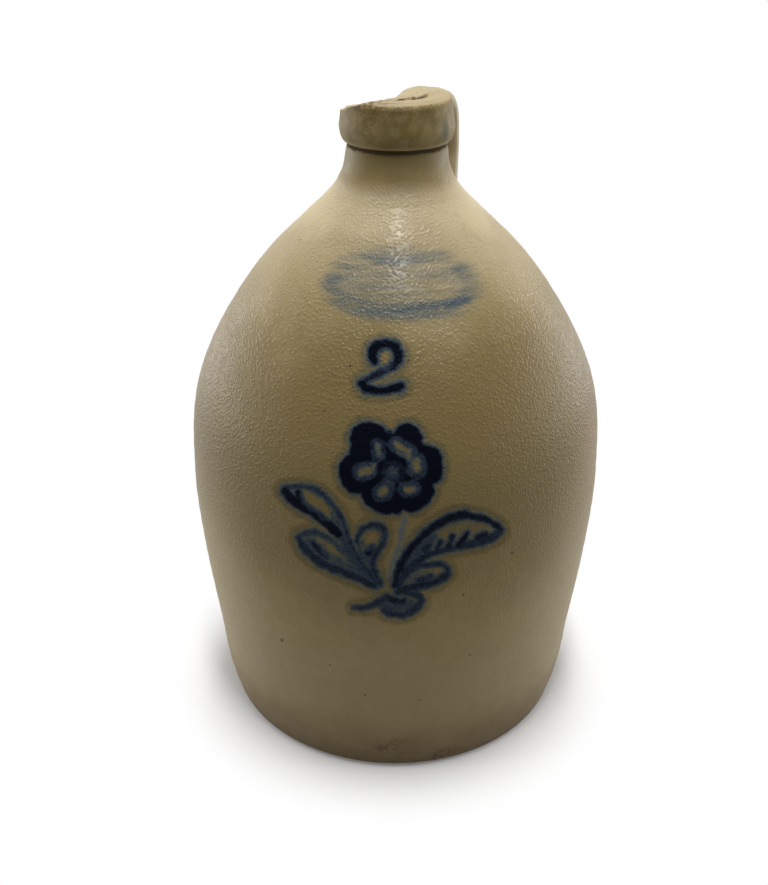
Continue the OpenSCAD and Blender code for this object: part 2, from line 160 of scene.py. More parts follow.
# %% Finished pieces
def finished(name, bm, node, material):
    """Turns a bmesh into a shaded piece that rides on the jug and stands for a CAD node."""
    mesh = bpy.data.meshes.new(name)
    bm.to_mesh(mesh)
    bm.free()
    mesh.shade_smooth()
    piece = bpy.data.objects.new(name, mesh)
    scene.collection.objects.link(piece)
    mesh.materials.append(material)
    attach(piece, "root")
    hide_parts(node)
    print(name, len(mesh.polygons), "faces")
    return piece


# %% [markdown]
# Shader maths
#
# Glaze is built from masks, and masks are easier to read as sums than as wires. The first class below
# wraps a socket, so that `peel * 0.3 + 0.7` adds its Math nodes by itself. The second makes a material
# or a world, and adds every other kind of node to it.

# %% Socket wrapper
class Socket:
    def __init__(self, tree, out):
        self.tree = tree
        self.out = out

    def maths(self, operation, a, b):
        return self.tree.node("ShaderNodeMath", {"operation": operation}, {0: a, 1: b})

    def __add__(self, other):
        return self.maths("ADD", self, other)

    def __radd__(self, other):
        return self.maths("ADD", other, self)

    def __sub__(self, other):
        return self.maths("SUBTRACT", self, other)

    def __rsub__(self, other):
        return self.maths("SUBTRACT", other, self)

    def __mul__(self, other):
        return self.maths("MULTIPLY", self, other)

    def __rmul__(self, other):
        return self.maths("MULTIPLY", other, self)

    def between(self, low, high):
        """0 below low, 1 above high, and smooth on the way."""
        return self.tree.node(
            "ShaderNodeMapRange", {"interpolation_type": "SMOOTHSTEP"},
            {"Value": self, "From Min": low, "From Max": high}
        )


# %% Finishes
class Finish:
    """A new material or world, its node tree, and the calls that fill it."""

    def __init__(self, name, kind="materials"):
        self.owner = getattr(bpy.data, kind).new(name)
        self.owner.use_nodes = True
        self.nodes = self.owner.node_tree.nodes
        self.links = self.owner.node_tree.links
        self.nodes.clear()
        self.place = self.node("ShaderNodeTexCoord", out="Object")

    def node(self, kind, settings=None, inputs=None, out=0):
        added = self.nodes.new(kind)
        for name, value in (settings or {}).items():
            setattr(added, name, value)
        for name, value in (inputs or {}).items():
            if isinstance(value, Socket):
                self.links.new(value.out, added.inputs[name])
            else:
                added.inputs[name].default_value = value
        return Socket(self, added.outputs[out] if added.outputs else None)

    def noise(self, size, detail=2, stretch=(1, 1, 1), shift=0):
        """Noise with lumps of about that size in metres, stretched along the axes."""
        scale = [1 / (size * s) for s in stretch]
        spot = self.node("ShaderNodeMapping", {}, {
            "Vector": self.place, "Scale": scale, "Location": (shift, shift, shift)
        })
        return self.node("ShaderNodeTexNoise", {}, {"Vector": spot, "Scale": 1, "Detail": detail})

    def mix(self, factor, a, b):
        """Mixes two colours."""
        return self.node("ShaderNodeMix", {"data_type": "RGBA"},
                         {0: factor, 6: self.rgba(a), 7: self.rgba(b)}, out=2)

    @staticmethod
    def rgba(colour):
        return colour if isinstance(colour, Socket) else (*colour, 1)

    def near(self, spot, inner, outer, squash=(1, 1, 1)):
        """1 within inner of a spot, 0 past outer, in metres."""
        offset = self.node("ShaderNodeVectorMath", {"operation": "SUBTRACT"},
                           {0: self.place, 1: tuple(spot)})
        scaled = self.node("ShaderNodeVectorMath", {"operation": "MULTIPLY"},
                           {0: offset, 1: squash})
        distance = self.node("ShaderNodeVectorMath", {"operation": "LENGTH"}, {0: scaled}, out="Value")
        return 1 - distance.between(inner, outer)

    def height(self):
        return self.node("ShaderNodeSeparateXYZ", {}, {0: self.place}, out="Z")

    def seen(self):
        """1 for the camera's own rays and those by way of a mirror or glass, 0 for stray light."""
        rays = ("Is Camera Ray", "Is Glossy Ray", "Is Transmission Ray")
        return sum(self.node("ShaderNodeLightPath", out=ray) for ray in rays)

    def surface(self, colour, roughness, relief, depth, sheen_level=0.20):
        bump = self.node("ShaderNodeBump", {}, {"Height": relief, "Distance": depth, "Strength": 1.0})
        shader = self.node("ShaderNodeBsdfPrincipled", {}, {
            "Base Color": colour, "Roughness": roughness, "Normal": bump,
            "Specular IOR Level": sheen_level
        })
        self.node("ShaderNodeOutputMaterial", {}, {"Surface": shader})
        return self.owner


# %% [markdown]
# The clay and its glaze
#
# Salt vapour leaves a thin skin of glass with the dimples of an orange. It is thickest where the
# flame met it, on the shoulder, and thin and smooth on the lower wall. The colour is the clay's own
# tan, pulled towards olive where the glass pools and towards pink where it stayed thin. It also
# carries painted light: painted highlight on the shoulder, the foot of the neck and the lower flanks,
# and painted shade round the belly and on the upper flanks. The slip pieces use the same function
# for the clay under them, so that their edges fade into the wall.

# %% Clay colours
tan_clay = (0.315, 0.236, 0.098)
pale_clay = (0.36, 0.29, 0.165)
olive_clay = (0.225, 0.172, 0.062)
pink_clay = (0.34, 0.21, 0.13)
neck_foot_painted_highlight = (0.52, 0.43, 0.26)
belly_painted_shade = (0.158, 0.113, 0.040)
grey_clay = (0.290, 0.245, 0.140)
iron_brown = (0.035, 0.018, 0.008)
kiln_brown = (0.10, 0.055, 0.022)
foot_clay = (0.152, 0.100, 0.038)
neck_painted_shade = (0.170, 0.125, 0.045)
groove_painted_shade = (0.040, 0.027, 0.009)
peel_depth = 0.25 * mm


# %% Orange peel
def peel_relief(finish):
    """The orange peel, and how strong it is at each height."""
    wander = finish.noise(3 * mm, detail=1, shift=31) - 0.5
    pebbles = finish.node("ShaderNodeTexVoronoi", {"feature": "SMOOTH_F1"},
                          {"Vector": finish.place, "Scale": 1 / (1.55 * mm), "Smoothness": 0.5})
    fine = finish.noise(0.7 * mm, detail=1, shift=3)
    patches = finish.noise(45 * mm, detail=1, shift=7)
    strength = (finish.height() + patches * 0.06).between(0.08, 0.20) * 0.55 + 0.30
    strength = strength * (1 - finish.height().between(0.304, 0.316) * 0.70)
    peel = 1 - (pebbles + wander * 0.35).between(0.08, 0.62)
    return peel * strength + fine * 0.20, peel, strength


def glaze_roughness(finish, strength):
    """The glass is glossiest where the peel is strong, in front above all."""
    front = finish.near((0, -0.070, 0.280), 0.035, 0.100)
    return 0.53 - strength * (front * 0.27 + 0.09) + (finish.noise(6 * mm, shift=6) - 0.5) * 0.14


# %% Colour of the bare wall
def clay_colour(finish, peel, strength):
    """The bare wall's colour, from broad drifts down to iron specks, with painted highlight and shade."""
    drift = finish.noise(70 * mm, detail=3, shift=1).between(0.35, 0.68)
    mottle = finish.noise(9 * mm, detail=3, shift=2).between(0.3, 0.7)
    streaks = finish.noise(3.5 * mm, detail=2, stretch=(1, 1, 14), shift=5).between(0.35, 0.75)
    colour = finish.mix(drift * 0.55, tan_clay, pale_clay)
    colour = finish.mix(mottle * 0.28, colour, olive_clay)
    colour = finish.mix(streaks * 0.16, colour, olive_clay)
    colour = finish.mix((1 - peel) * strength * 0.45, colour, olive_clay)
    z = finish.height() + drift * 0.02
    # Painted shade: a darker band round the belly, for the dim light on the front of the jug.
    belly_shade_band = z.between(0.105, 0.160) * (1 - z.between(0.232, 0.286))
    colour = finish.mix(belly_shade_band * 0.80, colour, belly_painted_shade)
    # Painted highlight: the shoulder is lightened towards pale clay, as if lit from overhead.
    shoulder = z.between(0.244, 0.298) * (1 - finish.height().between(0.304, 0.314))
    colour = finish.mix(shoulder * 0.95, colour, pale_clay)
    # Painted highlight: the foot of the neck is lightened, standing in for the glints there.
    neck_foot_highlight = z.between(0.288, 0.306) * (1 - finish.height().between(0.303, 0.310))
    colour = finish.mix(neck_foot_highlight * 0.7, colour, neck_foot_painted_highlight)
    colour = finish.mix((1 - z.between(0.050, 0.125)) * 0.45, colour, grey_clay)
    right_blush = finish.near((0.108, -0.042, 0.150), 0.005, 0.045, squash=(1, 1, 0.6))
    left_blush = finish.near((-0.090, -0.050, 0.045), 0.005, 0.050, squash=(1, 1, 0.8))
    foot_blush = finish.near((0.030, -0.095, 0.035), 0.010, 0.060, squash=(0.7, 1, 1))
    colour = finish.mix(right_blush * 0.55 * drift, colour, pink_clay)
    colour = finish.mix(left_blush * 0.45 * mottle, colour, pink_clay)
    colour = finish.mix(foot_blush * 0.30 * mottle, colour, pink_clay)
    for side in (-1, 1):
        # Painted shade on the upper flanks, darkened towards the belly colour.
        flank_shade = finish.near((side * 0.098, 0, 0.225), 0.010, 0.070)
        colour = finish.mix(flank_shade * 0.45, colour, belly_painted_shade)
        # Painted highlight on the lower flanks, lightened towards pale clay.
        low_flank_highlight = finish.near((side * 0.097, -0.055, 0.105), 0.010, 0.060, squash=(1, 1, 0.6))
        colour = finish.mix(low_flank_highlight * 0.60, colour, pale_clay)
    specks = finish.node("ShaderNodeTexVoronoi", {"feature": "F1"},
                         {"Vector": finish.place, "Scale": 1 / (11 * mm), "Randomness": 1})
    sparse = finish.noise(22 * mm, detail=1, shift=9).between(0.50, 0.62)
    return finish.mix((1 - specks.between(0.025, 0.055)) * sparse * 0.85, colour, iron_brown)


# %% [markdown]
# The body
#
# Turning marks run round the wall, no thrown pot is quite round, and a groove was cut under the
# collar. All are real shape, so they go into the mesh, by moves that never pass the frame's wall.

# %% Body
wall_ring_gap = 2.2 * mm
wall_turn_steps = 288
body_outline = smooth_runs(section_of("body"), wall_ring_gap)
body_top = max(z for r, z in body_outline)
top_index = next(i for i, (r, z) in enumerate(body_outline) if z > body_top - 0.01 * mm)
bore_clear_r = 20 * mm
outer_z = [z for r, z in body_outline[:top_index + 1] if r > bore_clear_r]
outer_r = [r for r, z in body_outline[:top_index + 1] if r > bore_clear_r]


def wall_r(z):
    """Radius of the smooth outer wall at a height."""
    return float(np.interp(z, outer_z, outer_r))


body_bm = spun(body_outline, wall_turn_steps)
print("widest wall radius", round(max(outer_r), 4))

# %% Turning marks
ring_pitch = 9 * mm
ring_dip, slow_dip, close_dip = 0.08 * mm, 0.12 * mm, 0.05 * mm
undercut_z = 325.6 * mm
undercut_depth = 1.3 * mm
undercut_half_h = 2.2 * mm
foot_rest_z = 4 * mm
neck_seat_z = 327 * mm
for v in body_bm.verts:
    r = math.hypot(v.co.x, v.co.y)
    if v.co.z < foot_rest_z or v.co.z > neck_seat_z or r < wall_r(v.co.z) - 0.3 * mm:
        continue
    turn = math.atan2(v.co.y, v.co.x)
    ring = math.sin(2 * math.pi * v.co.z / ring_pitch + turn + 3 * noise.noise(v.co * 9))
    slow = noise.noise(v.co * 16)
    close = noise.noise(v.co * 70)
    dip = ring_dip * (1 + ring) + slow_dip * (1 + slow) + close_dip * (1 + close)
    dip += undercut_depth * max(0, 1 - abs(v.co.z - undercut_z) / undercut_half_h) ** 0.7
    keep = (r - dip) / r
    v.co.x *= keep
    v.co.y *= keep
body_tree = BVHTree.FromBMesh(body_bm)


def on_wall(x, y):
    """Where the photograph's pixel lies on the body: (point, normal), or (None, None)."""
    point, normal, _, _ = body_tree.ray_cast(camera.location, photo_ray(x, y))
    return point, normal


# %% Marks on the wall
# A pixel, the radii in millimetres where the mark is full and where it ends, and its strength
kiln_mark_pixels = [
    (386, 748, 4, 9, 0.75), (441, 754, 5, 11, 0.8), (455, 750, 3, 8, 0.6), (398, 742, 3, 7, 0.5)
]
kiln_marks = [(on_wall(x, y)[0], a * mm, b * mm, c) for x, y, a, b, c in kiln_mark_pixels]
# A pixel, and the spot's radius in millimetres
iron_spot_pixels = [
    (282, 640, 1.4), (512, 553, 1.0), (463, 595, 0.8), (496, 546, 0.9), (350, 366, 0.8),
    (286, 539, 0.6), (289, 543, 0.5), (545, 470, 0.8), (330, 665, 0.7), (470, 655, 0.7),
    (250, 430, 0.8), (300, 240, 0.7), (545, 330, 0.6), (420, 700, 0.6), (365, 695, 0.7)
]
iron_spots = [(on_wall(x, y)[0], s * mm) for x, y, s in iron_spot_pixels]


# %% Wall finish
def wall_finish():
    finish = Finish("salt_glazed_clay")
    relief, peel, strength = peel_relief(finish)
    colour = clay_colour(finish, peel, strength)
    # Painted shade under the collar, where the neck is darkened towards olive.
    under_collar_shade = (finish.height() + (finish.noise(12 * mm) - 0.5) * 0.01).between(0.307, 0.319)
    colour = finish.mix(under_collar_shade * 0.7, colour, neck_painted_shade)
    # Painted shade in the groove under the collar, darkened almost to brown; the same band roughens the
    # glaze.
    groove = (finish.height() + (finish.noise(5 * mm, shift=14) - 0.5) * 0.0016).between(0.3232, 0.3246)
    colour = finish.mix(groove * 0.92, colour, groove_painted_shade)
    low = 1 - (finish.height() + (finish.noise(20 * mm, shift=19) - 0.5) * 0.03).between(0.005, 0.050)
    colour = finish.mix(low * 0.85, colour, foot_clay)
    foot_line = 1 - (finish.height() + (finish.noise(7 * mm, shift=4) - 0.5) * 0.012).between(-0.002, 0.006)
    colour = finish.mix(foot_line * 0.7, colour, kiln_brown)
    for spot, inner, outer, amount in kiln_marks:
        smudge = finish.noise(2.5 * mm, detail=3, shift=inner * 1000).between(0.42, 0.58)
        colour = finish.mix(finish.near(spot, inner, outer, squash=(1, 1, 1.6)) * smudge * amount,
                            colour, kiln_brown)
    for spot, size in iron_spots:
        colour = finish.mix(finish.near(spot, size * 0.5, size) * 0.9, colour, iron_brown)
    roughness = glaze_roughness(finish, strength) + groove * 0.45
    return finish.surface(colour, roughness, relief, peel_depth)


finished("body_shell", body_bm, "body", wall_finish())

# %% [markdown]
# The lining
#
# Such jugs were swilled inside with brown slip before firing. The frame's own node has the right
# shape, so it stays and only gets its finish.

# %% Slip lining
lining_dark = (0.030, 0.014, 0.007)
lining_brown = (0.075, 0.034, 0.014)


def lining_finish():
    finish = Finish("brown_slip")
    ripple = finish.noise(14 * mm, detail=2, stretch=(1, 1, 0.5))
    colour = finish.mix(ripple, lining_dark, lining_brown)
    return finish.surface(colour, 0.22 + ripple * 0.15, ripple, 0.5 * mm, sheen_level=0.5)


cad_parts["slip_lining"].material_slots[0].material = lining_finish()

# %% [markdown]
# Cobalt slip
#
# The numeral and the flower were trailed and brushed in cobalt slip, which the salt glaze softened
# at its edges. Each stroke below is a short list of points on the photograph, with a width in
# pixels and a strength. A fine grid is thrown onto the wall along the camera's rays, each point
# keeps the strongest stroke that covers it, and the faces with no slip are deleted. The strength
# also lifts the surface, so the slip stands up a little, thins out to nothing, and fades to clay.

# %% A stroke
def stroke(points, radius, tone, soft=6.5, halo=4.5):
    """A trailed line: its points, one radius or a list of them, and how strong the slip is."""
    widths = radius if isinstance(radius, (list, tuple)) else [radius] * len(points)
    path = [(x, y, w) for (x, y), w in zip(points, widths)]
    if len(path) > 2:
        path = curve_through(path, 4)
    return {"path": np.array(path, float), "tone": tone, "soft": soft, "halo": halo}


# %% The drawing
drawing = {
    "numeral_two": [
        stroke([(374.6, 361.5), (373.6, 355.4), (374.8, 349.6), (379.3, 345.6), (385.5, 344.0)],
               [4.6, 6.0, 6.4, 5.8, 4.6], 1.0, soft=8),
        stroke([(379.3, 345.2), (386.1, 343.6), (393.2, 346), (397.4, 351), (398.2, 357.5), (394.9, 363),
                (388.8, 367.6)], [4.6, 5.0, 5.2, 5.2, 5.2, 5.0, 4.8], 0.98, soft=8),
        stroke([(388.8, 367.6), (381.7, 371.9), (374.7, 375.6), (367.1, 379.2), (362.6, 382.4)],
               [4.8, 4.6, 4.2, 4.2, 4.6], 0.88, soft=8),
        stroke([(362.4, 383.6), (366, 388.4), (374.7, 390.2), (383.4, 390.2), (392, 388.9), (400.2, 386.2)],
               [5.0, 4.8, 4.2, 4.2, 4.6, 5.0], 0.97, soft=8),
        stroke([(380, 352), (380.5, 361)], 4.5, 0.32, soft=9),
    ],
    "flower_petals": [
        stroke([(366.5, 438.5), (370, 447)], [16.5, 17], 1.0),
        stroke([(361, 452), (374, 437)], [12, 13.5], 1.0),
        stroke([(388.5, 436), (390, 455)], [6, 7], 1.0),
        stroke([(407, 438.5)], 15.0, 1.0),
        stroke([(411, 440), (416, 449)], 8.5, 1.0),
        stroke([(426.5, 461), (427, 470.5)], [16, 15.6], 1.0),
        stroke([(417, 490), (411, 496)], [17, 16], 1.0),
        stroke([(379, 492), (386, 497)], [17.5, 17], 1.0),
        stroke([(355.5, 470), (357.5, 477)], [17, 16.4], 1.0),
        stroke([(393, 472)], 19, 0.97),
        stroke([(394.5, 486), (396, 506)], [7, 8], 1.0),
    ],
    "flower_eye": [stroke([(393.2, 471.2)], 7, 0.62, soft=6, halo=0)],
    "flower_stem": [
        stroke([(405.5, 517), (402.5, 528), (399.5, 545), (394.5, 560), (389.5, 576)], 2.4, 0.36, soft=5),
    ],
    "leaf_upper_left": [
        stroke([(283.5, 488.8), (293, 486.2), (306, 487), (316.2, 490.5), (325.5, 497.8), (334.7, 508),
                (341, 518), (345.6, 528.6), (348.2, 538), (353, 547), (358.8, 558.6), (368, 571),
                (377.4, 583)],
               [3.2, 2.2, 2.6, 3.2, 2.8, 2.6, 2.4, 2.4, 2.2, 2.2, 2.4, 2.8, 3.0], 0.82),
        stroke([(284.5, 490.4), (291.3, 498.3), (300.5, 504.8), (310.7, 509.8), (320.5, 517.2),
                (329.5, 525.2), (338.4, 534)], [4.0, 4.4, 5.0, 5.0, 4.8, 4.6, 4.4], 0.98),
        stroke([(338.4, 534), (348, 547), (359, 563), (372, 583)], [4.6, 5.2, 5.2, 4.4], 0.72, soft=9),
        stroke([(298.5, 493), (301, 501)], 3.8, 0.98),
        stroke([(331, 512), (338, 524), (343, 537), (349, 549)], [3, 5, 6, 6.5], 0.62, soft=9),
        stroke([(348, 549), (356, 561), (364, 572), (373, 583)], [7, 8, 7, 5], 0.64, soft=9),
        stroke([(289, 491), (297, 494)], 4, 0.52, soft=5),
    ],
    "leaf_lower_left": [
        stroke([(299.5, 536), (308.8, 532.6), (318.1, 532.6), (326, 536.4), (334.7, 543.4), (343, 551.5)],
               [3.0, 3.0, 2.8, 2.4, 2.6, 3.0], 0.74),
        stroke([(299.3, 537.5), (303, 546.2), (309.8, 553.4), (321, 562), (334.7, 568.6), (349.5, 574.4),
                (362.5, 580), (374.6, 586)], [3.0, 4.0, 4.2, 4.2, 4.2, 4.0, 3.6, 3.2], 0.86),
        stroke([(313.5, 543), (319, 549), (328, 557)], [3.6, 4.0, 3.4], 0.88, soft=8),
        stroke([(308, 542), (322, 553), (336, 563), (352, 572)], [5.0, 7, 7.5, 6.5], 0.60, soft=9),
    ],
    "bud": [
        stroke([(356.8, 541), (360.5, 532.4), (366.8, 527), (376, 525.2), (382.6, 529.4), (383.4, 538),
                (380, 547), (374.6, 556), (372.4, 565), (377, 577), (380.5, 583)],
               [2.4, 2.8, 3.0, 3.6, 3.8, 3.6, 3.2, 3.0, 3.0, 3.2, 3.2], 0.84),
        stroke([(371.5, 547), (368.8, 552)], [4.4, 4.8], 0.92, soft=8),
        stroke([(361, 543), (365, 556), (370, 568), (376, 578)], [5, 7.5, 6.5, 5], 0.64, soft=9),
    ],
    "leaf_upper_right": [
        stroke([(394.8, 586), (396.8, 577), (400, 568), (405.5, 557), (414, 545.2), (424.8, 534),
                (436.4, 525), (449.7, 518.4), (461.5, 514.8), (472.1, 516.6), (482.8, 518), (492.8, 522.6),
                (500.4, 529)], [3.2, 3.6, 4.2, 4.2, 4.0, 4.0, 4.2, 4.6, 4.4, 3.6, 3.4, 3.0, 3.2], 0.92),
        stroke([(500.6, 530), (495.3, 535.4), (484.5, 540), (472.9, 543), (459.6, 546.6), (446.4, 549.6),
                (433.1, 552.6), (422.3, 557.6), (412.4, 565.4), (403.5, 575), (397.5, 585)],
               [3.4, 4.4, 5.0, 4.4, 3.2, 3.0, 3.2, 4.0, 4.8, 4.8, 4.2], 0.84),
        stroke([(478, 538), (486, 533.5)], [3.8, 3.0], 0.90),
        stroke([(424.5, 549.5), (429, 545)], 3.6, 0.86),
        stroke([(437.2, 549), (440.6, 541.2)], [3.2, 2.6], 0.88),
        stroke([(448.4, 548), (452.6, 536)], [3.4, 2.6], 0.88),
        stroke([(458, 546), (467, 533)], [3.8, 2.8], 0.94),
        stroke([(401, 574), (409, 561), (421, 549), (434, 537)], [6, 7.5, 7, 3.5], 0.68, soft=9),
    ],
    "leaf_lower_right": [
        stroke([(404, 576.5), (409.5, 571.4), (416.5, 567.6), (426.5, 564.6), (436.4, 563.8),
                (444.4, 565.8), (448, 571)], [2.6, 2.6, 2.6, 3.0, 3.0, 2.8, 2.8], 0.82),
        stroke([(447.6, 573.4), (439.4, 579.6), (429, 583.6), (418.2, 586), (408, 588.6), (400, 590.5)],
               [3.6, 3.8, 3.8, 4.0, 4.4, 4.0], 0.86),
        stroke([(419, 580.6), (430, 576.6)], [4, 3.4], 0.80),
        stroke([(408, 581), (424, 575)], 5, 0.46, soft=8),
    ],
    "root_flourish": [
        stroke([(353.2, 607.8), (362.5, 607), (372, 605.4), (381, 600.8), (387.4, 597)],
               [1.6, 2.4, 3.2, 3.8, 3.8], 0.80),
        stroke([(398, 591.4), (405, 592), (412.4, 593.6), (420, 598), (419.2, 604.6), (411.5, 611),
                (401.6, 614.4), (391.6, 613.6), (384, 610.6)],
               [3.6, 3.4, 3.4, 3.6, 3.8, 3.4, 3.2, 3.2, 3.2], 0.82),
        stroke([(387.6, 598), (401, 602.4), (405, 599)], [4.0, 3.4, 2.6], 0.86),
        stroke([(384, 605), (396, 606), (410, 604)], [6.5, 7.5, 6], 0.62, soft=9),
        stroke([(391, 577), (396, 590), (399, 595)], [4, 5, 4], 0.36, soft=9),
    ],
    "shoulder_wash": [
        stroke([(334, 286), (343, 298), (364, 306), (390, 309), (418, 309), (444, 305), (462, 297),
                (470, 285)],
               [11, 12, 11, 11, 12, 13, 13, 11], 0.28, soft=22, halo=0),
        stroke([(362, 306), (400, 310), (436, 307)], [4, 5, 5], 0.45, soft=18, halo=0),
        stroke([(448, 306), (466, 299)], [5, 5], 0.48, soft=16, halo=0),
        stroke([(334, 284), (342, 273), (362, 263), (400, 258), (440, 261), (460, 271), (470, 285)],
               [12, 12, 11, 10, 9, 10, 12], 0.26, soft=22, halo=0),
        stroke([(352, 283), (400, 281), (450, 284)], [24, 27, 23], 0.21, soft=24, halo=0),
    ],
}

# %% Bare spots
# Places where the clay shows through, as strokes that take slip away
bare_spots = [
    stroke([(418, 286), (446, 284)], [4, 5], 0.50, soft=16),
    stroke([(377.4, 445), (379.2, 454)], 2.6, 0.66, soft=6),
    stroke([(395.6, 443.6), (402.4, 448), (409, 451.0)], 2.9, 0.86, soft=6),
    stroke([(417, 461.5), (417, 469)], 4.2, 0.84, soft=7),
    stroke([(406.6, 489.6), (412.6, 488.8)], 3.4, 0.86, soft=6),
    stroke([(381.4, 493.0), (385.6, 489.2)], 3.9, 0.86, soft=7),
    stroke([(361.6, 471.6), (368.4, 470.6)], 4.1, 0.86, soft=7),
    stroke([(390.5, 420), (390.6, 427)], [4.0, 1.0], 0.75, soft=6),
    stroke([(393.2, 472.4)], 5.5, 0.36, soft=9),
    stroke([(308.5, 497.6), (316, 503.5)], [3, 3.2], 0.85, soft=7),
    stroke([(323, 507.5), (327.5, 513.5)], [2.4, 2.8], 0.75, soft=7),
    stroke([(329.5, 548), (334, 552.5)], [2.2, 2.6], 0.60, soft=7),
    stroke([(368, 541), (374, 536.5)], [3.4, 4], 0.90, soft=7),
    stroke([(384.6, 356), (386.2, 362)], [3.0, 2.2], 0.80, soft=7),
]
print("strokes", sum(len(marks) for marks in drawing.values()), "bare spots", len(bare_spots))

# %% [markdown]
# Reading the drawing
#
# The functions below turn strokes into a strength at any pixel. The distance to each line is
# worked out for all points at once, which keeps the whole drawing under a few seconds.

# %% Strength of the slip
def smooth01(t):
    t = np.clip(t, 0, 1)
    return t * t * (3 - 2 * t)


def ragged(x, y):
    """A wander of about a pixel, so that no edge runs clean."""
    waves = ((0.31, 0.17), (-0.23, 0.39), (0.53, -0.37), (0.29, 0.61))
    return 0.26 * sum(np.sin(a * x + b * y + 9 * a) for a, b in waves)


def coverage(mark, x, y, spread=0):
    """How much one stroke covers each pixel, from 0 to its tone, grown by spread pixels."""
    path, soft = mark["path"], mark["soft"]
    best = np.full(x.shape, -1e9)
    for a, b in zip(path, path[1:] if len(path) > 1 else path):
        along = b[:2] - a[:2]
        length2 = max(float(along @ along), 1e-9)
        t = np.clip(((x - a[0]) * along[0] + (y - a[1]) * along[1]) / length2, 0, 1)
        gap = np.hypot(x - a[0] - t * along[0], y - a[1] - t * along[1])
        best = np.maximum(best, a[2] + t * (b[2] - a[2]) - gap)
    best = best + spread + ragged(x, y)
    core = smooth01((best + 0.55 * soft) / soft)
    if mark["halo"]:
        core = np.maximum(core, 0.24 * smooth01((best + 0.55 * soft + mark["halo"]) / mark["halo"]))
    return core * mark["tone"]


# Fired slip runs out by about this many pixels
slip_spread = 0.7


def strongest(marks, x, y):
    return np.max([coverage(m, x, y, slip_spread) for m in marks], axis=0)


def slip_at(x, y):
    """Strength of the whole drawing, and the index of the piece it belongs to."""
    layers = np.array([strongest(marks, x, y) for marks in drawing.values()])
    total = layers.max(axis=0)
    for spot in bare_spots:
        total = total * (1 - coverage(spot, x, y))
    eye = list(drawing).index("flower_eye")
    near_eye = layers[eye] > 0.3
    owner = layers.argmax(axis=0)
    owner[near_eye] = eye
    return total, owner


# %% [markdown]
# Slip finishes
#
# Thin cobalt is a grey-blue haze, a brushed coat is navy, and a trailed line is almost black. One
# mask carries all three, and noise breaks it up into the tiny dots that salt leaves at an edge.

# %% Slip finish
haze_blue = (0.080, 0.092, 0.078)
wash_blue = (0.088, 0.104, 0.098)
brush_blue = (0.027, 0.041, 0.066)
line_blue = (0.001, 0.002, 0.006)


def slip_finish(name, haze, dots, streaks, sheen_level):
    finish = Finish(name)
    relief, peel, strength = peel_relief(finish)
    clay = clay_colour(finish, peel, strength)
    slip = finish.node("ShaderNodeAttribute", {"attribute_name": "slip"}, out="Fac")
    grit = finish.noise(0.9 * mm, detail=2, shift=11) - 0.5
    patch = finish.noise(4.5 * mm, detail=2, shift=12) - 0.5
    edge = slip * (1 - slip) * 4
    brushed = finish.noise(2.4 * mm, detail=2, stretch=(9, 9, 1), shift=22) - 0.5
    slip = slip + edge * ((grit + patch * 0.5 + (peel - 0.5) * 0.2) * dots + brushed * streaks)
    colour = finish.mix(slip.between(0.01, 0.40), clay, haze)
    colour = finish.mix(slip.between(0.32, 0.74), colour, brush_blue)
    colour = finish.mix(slip.between(0.70, 0.95), colour, line_blue)
    roughness = glaze_roughness(finish, strength) + slip * 0.04
    return finish.surface(colour, roughness, relief, peel_depth, sheen_level)


cobalt_slip = slip_finish("cobalt_slip", haze_blue, 0.60, 0.1, 0.03)
cobalt_wash = slip_finish("cobalt_wash", wash_blue, 0.16, 0.6, 0.18)

# %% [markdown]
# Laying the slip on the wall
#
# Each piece is one grid of a pixel's mesh size. Neighbours share the same grid lines and the same
# strengths, so leaves that touch meet without a step. Under its face the sheet goes a little way
# into the wall, which closes it.

# %% Slip pieces
grid_step = 1.0
slip_lift = 0.015 * mm
slip_build = 0.20 * mm
slip_depth = 0.5 * mm
# Pixels of grid beyond the widest stroke
grid_margin = 12
# Faces with less slip than this are left out
faintest = 0.025


def slip_piece(index, name, marks):
    points = np.vstack([m["path"] for m in marks])
    widest = points[:, 2].max() + grid_margin
    x0, y0 = np.floor(points[:, :2].min(axis=0) - widest)
    x1, y1 = np.ceil(points[:, :2].max(axis=0) + widest)
    span = (x1 - x0, y1 - y0)
    middle = ((x0 + x1) / 2, (y0 + y1) / 2)
    bm = bmesh.new()
    bmesh.ops.create_grid(bm, x_segments=int(span[0] / grid_step), y_segments=int(span[1] / grid_step),
                          size=0.5)
    place = np.array([v.co[:2] for v in bm.verts]) * span + middle
    strength, _ = slip_at(place[:, 0], place[:, 1])
    centres = np.array([f.calc_center_median()[:2] for f in bm.faces]) * span + middle
    face_strength, owner = slip_at(centres[:, 0], centres[:, 1])
    drop = [f for f, s, o in zip(bm.faces[:], face_strength, owner) if s < faintest or o != index]
    layer = bm.verts.layers.float.new("slip")
    for v, (x, y), s in zip(bm.verts, place, strength):
        point, normal = on_wall(x, y)
        v[layer] = s
        if point is not None:
            v.co = point + normal * (slip_lift + slip_build * s)
    bmesh.ops.delete(bm, geom=drop, context="FACES")
    loose = [v for v in bm.verts if not v.link_faces]
    bmesh.ops.delete(bm, geom=loose, context="VERTS")
    bmesh.ops.recalc_face_normals(bm, faces=bm.faces)
    if sum(f.normal.y for f in bm.faces) > 0:
        bmesh.ops.reverse_faces(bm, faces=bm.faces)
    for e in bm.edges:
        e.smooth = not e.is_boundary
    thin = name in ("flower_stem", "shoulder_wash")
    finish, slot = (cobalt_wash, "cobalt_wash") if thin else (cobalt_slip, "cobalt_slip")
    piece = finished(name + "_slip", bm, name, finish)
    wall = piece.modifiers.new("under_side", "SOLIDIFY")
    wall.thickness = slip_depth
    wall.offset = -1


for index, (name, marks) in enumerate(drawing.items()):
    slip_piece(index, name, marks)

